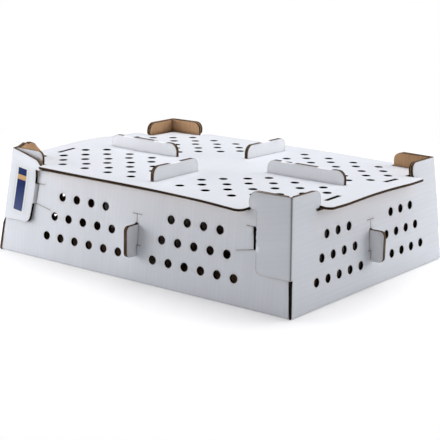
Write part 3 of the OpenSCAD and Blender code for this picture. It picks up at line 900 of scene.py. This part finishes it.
def lidQuarter():  # end edge, ear, recess round the post, long edge: x, y, radius
    endX, sideY = endOut(box["wallTop"]) + lid["overEnd"], sideOut(box["wallTop"]) + lid["overSide"]
    recessX = endOut(box["postTop"]) - (board["thickness"] + layer) / cosEnd - box["lidClear"]
    recessY = sideOut(box["postTop"]) - board["thickness"] / cosSide - box["lidClear"]
    neckX = legHead(sideCorner, sidePost)[2] - box["lidClear"] - lid["neckInset"]
    neckY = legHead(endCorner, endPost)[2] - box["lidClear"]
    return [
        (endX, neckY + lid["earFlare"], lid["cornerRadius"]),
        (endOut(box["wallTop"]) + lid["earRoot"], neckY, lid["earRadius"]),
        (recessX, neckY, lid["recessRadius"]),
        (recessX, recessY, lid["recessCornerRadius"]),
        (neckX, recessY, lid["recessRadius"]),
        (neckX, sideY, lid["neckRadius"]),
    ]


def slotLoop(x, y, length, width):
    return np.array([(x, y), (x + length, y), (x + length, y + width), (x, y + width)])


def lidLoops():
    loops = [wholeLoop(lidQuarter())]
    wide = box["dividerThickness"] + 2 * box["fitGap"]
    for sx in (-1, 1):
        long, cross = (slotLoop(start - box["fitGap"], -wide / 2, length + 2 * box["fitGap"], wide)
                       for start, length in zip(lid["tabStarts"], lid["tabLengths"]))
        loops += [long * (sx, 1), cross[:, ::-1] * (1, sx)]
        for sy in (-1, 1):
            grip = slotLoop(endOut(box["wallTop"]) - lid["gripIn"] - lid["gripWidth"] / 2,
                            lid["slotMiddle"] - lid["slotLength"] / 2, lid["gripWidth"], lid["slotLength"])
            loops.append(grip * (sx, sy))
            for r, (first, last) in enumerate(zip(lid["first"], lid["last"])):
                y = lid["rowFirst"] + r * lid["stepY"]
                for i in range(first, last + 1, 2):
                    inset = lid["oddInset"] if i in lid["oddColumns"] else 0.0
                    loops.append(ventLoop(sx * (i * lid["stepX"] - inset), sy * y))
    return loops


def bowLid(flat):
    # Crowned, by the square of y and the cube of x; arched at both ends; lifted at the ears; waved along the
    # long edges; curled up along the front edge, most at the left; and dipped at the front right corner
    x, y = flat.T
    endShare, sideShare = np.abs(x) / lid["halfX"], np.abs(y) / lid["halfY"]
    crown = lid["rise"] - lid["dropSide"] * sideShare ** 2 - lid["dropEnd"] * endShare ** 3
    arch = np.where(x < 0, lid["archLeft"], lid["archRight"]) * ramp(endShare, *lid["archBand"])
    arch = arch * hump(y / lid["archWidth"])
    ear = lid["earLift"] * ramp(endShare, *lid["earBand"]) * ramp(np.abs(y), *lid["earSide"])
    deep, length, shift = lid["wave"]
    wave = deep * np.sin(x / length + shift) * ramp(sideShare, *lid["waveBand"])
    curlShare = np.clip(0.5 - x / lid["curlLength"], 0, 1) ** lid["curlCurve"]
    curl = lid["curl"] * curlShare * ramp(-y, *lid["curlBand"])
    dip = -lid["cornerDip"] * ramp(x, *lid["dipAcross"]) * ramp(-y, *lid["dipFront"])
    rise = crown + arch + ear + wave + curl + dip
    return np.stack([x, y, lid["foot"] + board["thickness"] + rise], 1)


lidSheet = boardSheet(lidLoops(), bowLid, even(lid["thickness"]))
lidPiece = boardMesh("bowed_lid", lidSheet, (lidWhite, kraft, lidRim, darkRim))
standFor(lidPiece, "lid", "lid")


# Dividers: two upright sheets, halved into each other

divider = {
    "hookDrop": 17.0, "hookReach": 25.0, "hookRadius": 8.0, "tabRise": 31.0, "tabRadius": 14.0,
    "fitRadius": 1.0, "lipRadius": 1.5, "rootRadius": 2.0, "slotRadius": 0.5,
    "dips": ((-0.24, 0.24), (0.0,)), "dipDepth": 1.6, "dipLength": 25.0, "dipRadius": 2.5,
    "dipFoot": 0.85, "dipTop": 1.25, "dipShare": 0.56,  # shares: two of half its length, one of all of it
}


def dividerHalf(inner, outer, tabStart, tabLength, dips):  # right half of the outline: place, height, radius
    gap, low, top = box["fitGap"], board["thickness"], box["wallTop"]
    foot = box["slotFoot"] - divider["hookDrop"]
    root = box["slotFoot"] + gap
    head = root + box["hookRoot"]
    lip, tip = outer(foot) + gap, outer(box["slotFoot"]) + divider["hookReach"]
    tabEnd, tabTop = tabStart + tabLength, top + divider["tabRise"]
    fit, rootRadius = divider["fitRadius"], divider["rootRadius"]
    points = [
        (inner(low) - gap, low, fit), (inner(root) - gap, root, fit),
        (lip, root, divider["lipRadius"]), (lip, foot, rootRadius),
        (tip, foot, divider["hookRadius"]), (tip, head, divider["hookRadius"]),
        (inner(head) - gap, head, fit), (inner(top) - gap, top, fit),
        (tabEnd, top, rootRadius), (tabEnd, tabTop, divider["tabRadius"]),
    ]
    dipTop, dipFoot, deep = divider["dipTop"], divider["dipFoot"], tabTop - divider["dipDepth"]
    for share in reversed(dips):
        middle = tabStart + tabLength * (0.5 + share)
        for side, height in ((dipTop, tabTop), (dipFoot, deep), (-dipFoot, deep), (-dipTop, tabTop)):
            points.append((middle + side * divider["dipLength"] / 2, height, divider["dipRadius"]))
    return points + [(tabStart, tabTop, divider["tabRadius"]), (tabStart, top, rootRadius)]


def dividerLoop(half, slotFromTop):  # both halves, with the slot that takes the other divider
    low, top, radius = board["thickness"], box["wallTop"], divider["slotRadius"]
    slot, middle = box["dividerThickness"] / 2 + box["fitGap"], (low + top) / 2
    if slotFromTop:
        half = half + [(slot, top, radius), (slot, middle, radius)]
    else:
        half = [(slot, middle, radius), (slot, low, radius)] + half
    return rounded(half + flipped(half, -1, 1))


def endIn(z):
    return endOut(z) - board["thickness"] / cosEnd


def sideIn(z):
    return sideOut(z) - board["thickness"] / cosSide


def standLong(flat):  # outer face towards the front
    x, z = flat.T
    return np.stack([x, np.full(len(x), -box["dividerThickness"] / 2), z], 1)


def standCross(flat):  # outer face towards the right
    y, z = flat.T
    return np.stack([np.full(len(y), box["dividerThickness"] / 2), y, z], 1)


def uncutDips(tabStart, tabLength, dips):  # the white liner folds over a tab's dips, where its layers join
    def here(flat):
        place, z = np.abs(flat[:, 0]), flat[:, 1]
        middles = tabStart + tabLength * (0.5 + np.array(dips))
        beside = np.abs(place[:, None] - middles).min(1) < divider["dipLength"] * divider["dipShare"]
        return beside & (z > box["wallTop"] + divider["tabRise"] - 2 * divider["dipDepth"])
    return here


for node, walls, stand, kind in (("long_divider", (endIn, endOut), standLong, 0),
                                 ("cross_divider", (sideIn, sideOut), standCross, 1)):
    tabs = lid["tabStarts"][kind], lid["tabLengths"][kind], divider["dips"][kind]
    outline = dividerLoop(dividerHalf(*walls, *tabs), kind == 0)
    sheet = boardSheet([outline], stand, even(box["dividerThickness"]))
    looks = dividerWhite, dividerWhite, doubleRim
    panel = boardMesh(node + "_board", sheet, looks, bridge=uncutDips(*tabs))
    standFor(panel, node, "box")


# Label: a paper sticker that follows the left front flap

label = {
    "width": 34.0, "height": 84.0, "middle": 112.0, "lift": 0.2, "cells": (18, 42), "relief": 0.05,
    "paper": shade(226, 229, 232), "specular": 0.12, "cloudScale": 90.0, "grainScale": 1500.0,
    "fieldWidth": 0.56, "fieldHeight": 0.88, "fieldDark": shade(22, 36, 86), "fieldLight": shade(30, 46, 102),
    "footFade": (0.6, 0.1), "footShare": 0.3, "footColour": shade(120, 134, 178),
    "bandPlace": 0.74, "bandHeight": 0.1, "bandColour": shade(206, 166, 120),
    "marginPlace": 0.4, "marginWidth": 0.024, "marginHeight": 0.8, "marginInk": 0.35,
    "marginColour": shade(150, 152, 158),
}


def labelLook():
    # White paper with two faint margin lines, a blue field, paler at its foot, and a warm band across it
    look = Look(bpy.data.materials.new("labelPaper"))
    across, along = look.sheetPlace()
    place = look.objectPlace()
    cloud = look.noise(place, label["cloudScale"])
    grain = look.noise(place, label["grainScale"], 2.0)
    aside, above = abs(across - 0.5), abs(along - 0.5)
    field = (aside < label["fieldWidth"] / 2) * (above < label["fieldHeight"] / 2)
    foot = look.spread(along, *label["footFade"]) * label["footShare"]
    band = abs(along - label["bandPlace"]) < label["bandHeight"] / 2
    margin = abs(aside - label["marginPlace"]) < label["marginWidth"] / 2
    margin = margin * (above < label["marginHeight"] / 2)
    ink = look.mix(look.spread(cloud, -0.3, 0.3), label["fieldDark"], label["fieldLight"])
    ink = look.mix(foot, ink, label["footColour"])
    ink = look.mix(band, ink, label["bandColour"])
    paper = look.mix(margin * label["marginInk"], label["paper"], label["marginColour"])
    colour = look.mix(field, paper, ink)
    return look.paper(colour, 0.7 + cloud * 0.1, grain, label["relief"] * mm, label["specular"])


def makeLabel():  # a grid of (across, up) on the flap, lifted off its face along the normal
    columns, rows = label["cells"]
    s, t = (g.ravel() for g in np.meshgrid(np.linspace(0, 1, columns + 1), np.linspace(0, 1, rows + 1)))
    v0 = label["middle"] / cosSide
    tilt = -math.atan(cosSide * tanEnd)
    a, b = (s - 0.5) * label["width"], (t - 0.5) * label["height"]
    u = box["legLength"] / 2 - sideCorner(v0) + a * math.cos(tilt) - b * math.sin(tilt)
    v = v0 + a * math.sin(tilt) + b * math.cos(tilt)
    flat = -np.stack(flapFlat(-u, v), 1)
    index = np.arange(len(s)).reshape(rows + 1, columns + 1)
    quads = np.stack([index[:-1, :-1], index[:-1, 1:], index[1:, 1:], index[1:, :-1]], -1).reshape(-1, 4)
    points = foldTray(flat)
    normal = pointNormals(points, np.concatenate([quads[:, :3], quads[:, [0, 2, 3]]]))
    points = points + normal * label["lift"]
    mesh = bpy.data.meshes.new("corner_label")
    mesh.from_pydata((points * mm).tolist(), [], quads.tolist())
    places = np.stack([s, t], 1)[quads.ravel()]
    mesh.uv_layers.new(name="sheet").data.foreach_set("uv", places.ravel().astype(np.float32))
    mesh.shade_smooth()
    mesh.materials.append(labelLook())
    return addObject("corner_label", mesh)


standFor(makeLabel(), "label", "box")


# Floor, light and camera

studio = {  # in metres
    "floorSize": 12.0, "floorDrop": 0.0004, "floorColour": (0.86, 0.86, 0.87, 1.0), "floorGlow": 0.3,
    "floorFade": (0.4, 1.3), "white": (1.0, 1.0, 1.0, 1.0), "sky": (0.96, 0.98, 1.0, 1.0), "ambient": 0.07,
    "lamps": (  # name, place, target, size, power
        ("leftSoftbox", (-1.0, -0.64, 0.33), (-0.3, -0.2, 0.08), 0.8, 6.6),
        ("rightSoftbox", (1.35, 1.45, 0.6), (0.25, 0.0, 0.08), 1.5, 23.3),
        ("topSoftbox", (-0.2, 0.6, 2.2), (0.0, 0.0, 0.1), 2.2, 53.8),
        ("frontSoftbox", (-1.3, -1.9, 0.5), (-0.2, -0.2, 0.08), 1.0, 9.6),
    ),
}


def makeFloor():
    half, z = studio["floorSize"] / 2, -studio["floorDrop"]
    mesh = bpy.data.meshes.new("floor")
    corners = [(-half, -half, z), (half, -half, z), (half, half, z), (-half, half, z)]
    mesh.from_pydata(corners, [], [(0, 1, 2, 3)])
    look = Look(bpy.data.materials.new("floorPaper"))
    direct, glossy, through = (look.node("ShaderNodeLightPath", {}, (), name)
                               for name in ("Is Camera Ray", "Is Glossy Ray", "Is Transmission Ray"))
    seen = direct + glossy + through
    seen = seen.math("MINIMUM", seen, 1.0)
    paper = look.node("ShaderNodeBsdfDiffuse", {}, {"Color": studio["floorColour"]})
    strength = seen * studio["floorGlow"]
    glow = look.node("ShaderNodeEmission", {}, {"Color": studio["white"], "Strength": strength})
    both = look.node("ShaderNodeAddShader", {}, (paper, glow))
    white = look.node("ShaderNodeEmission", {}, {"Color": studio["white"], "Strength": 1.0})
    away = look.node("ShaderNodeVectorMath", {"operation": "LENGTH"}, (look.objectPlace(),), "Value")
    fade = look.spread(away, *studio["floorFade"])  # plain white far from the box
    mesh.materials.append(look.surface(look.node("ShaderNodeMixShader", {}, (fade * seen, both, white))))
    addObject("floor", mesh)


def makeWorld():  # white to the camera, a plain grey light to everything else
    world = bpy.data.worlds.new("studio")
    bpy.context.scene.world = world
    look = Look(world, "ShaderNodeOutputWorld")
    seen = look.node("ShaderNodeLightPath", {}, (), "Is Camera Ray")
    dim = look.node("ShaderNodeBackground", {}, {"Color": studio["sky"], "Strength": studio["ambient"]})
    white = look.node("ShaderNodeBackground", {}, {"Color": studio["white"]})
    look.surface(look.node("ShaderNodeMixShader", {}, (seen, dim, white)))


def makeLamps():
    for name, place, target, size, power in studio["lamps"]:
        lamp = bpy.data.lights.new(name, "AREA")
        lamp.shape, lamp.size, lamp.energy = "SQUARE", size, power
        lit = addObject(name, lamp)
        lit.location = place
        lit.rotation_euler = (Vector(target) - Vector(place)).to_track_quat("-Z", "Y").to_euler()


camera = {
    "place": (1323.35, -1764.28, 597.37),
    "right": (0.79369, 0.60797, 0.02053), "down": (0.15996, -0.17602, -0.9713),
    "focal": 1321.32, "axisPixel": (214.06, 220.06), "frame": 440,  # in pixels of the photo
    "sensor": 36.0, "clip": (0.05, 50.0),
}


def makeCamera():
    data = bpy.data.cameras.new("camera")
    data.sensor_width = camera["sensor"]
    data.lens = camera["focal"] / camera["frame"] * data.sensor_width
    data.shift_x = 0.5 - camera["axisPixel"][0] / camera["frame"]
    data.shift_y = camera["axisPixel"][1] / camera["frame"] - 0.5
    data.clip_start, data.clip_end = camera["clip"]
    right, up = Vector(camera["right"]).normalized(), -Vector(camera["down"])
    back = right.cross(up).normalized()
    up = back.cross(right)
    turn = Matrix((right, up, back)).transposed().to_4x4()
    view = addObject("camera", data)
    view.matrix_world = Matrix.Translation(Vector(camera["place"]) * mm) @ turn
    bpy.context.scene.camera = view


makeFloor()
makeWorld()
makeLamps()
makeCamera()
bpy.context.scene.view_settings.view_transform = "Standard"
print("stage ready")
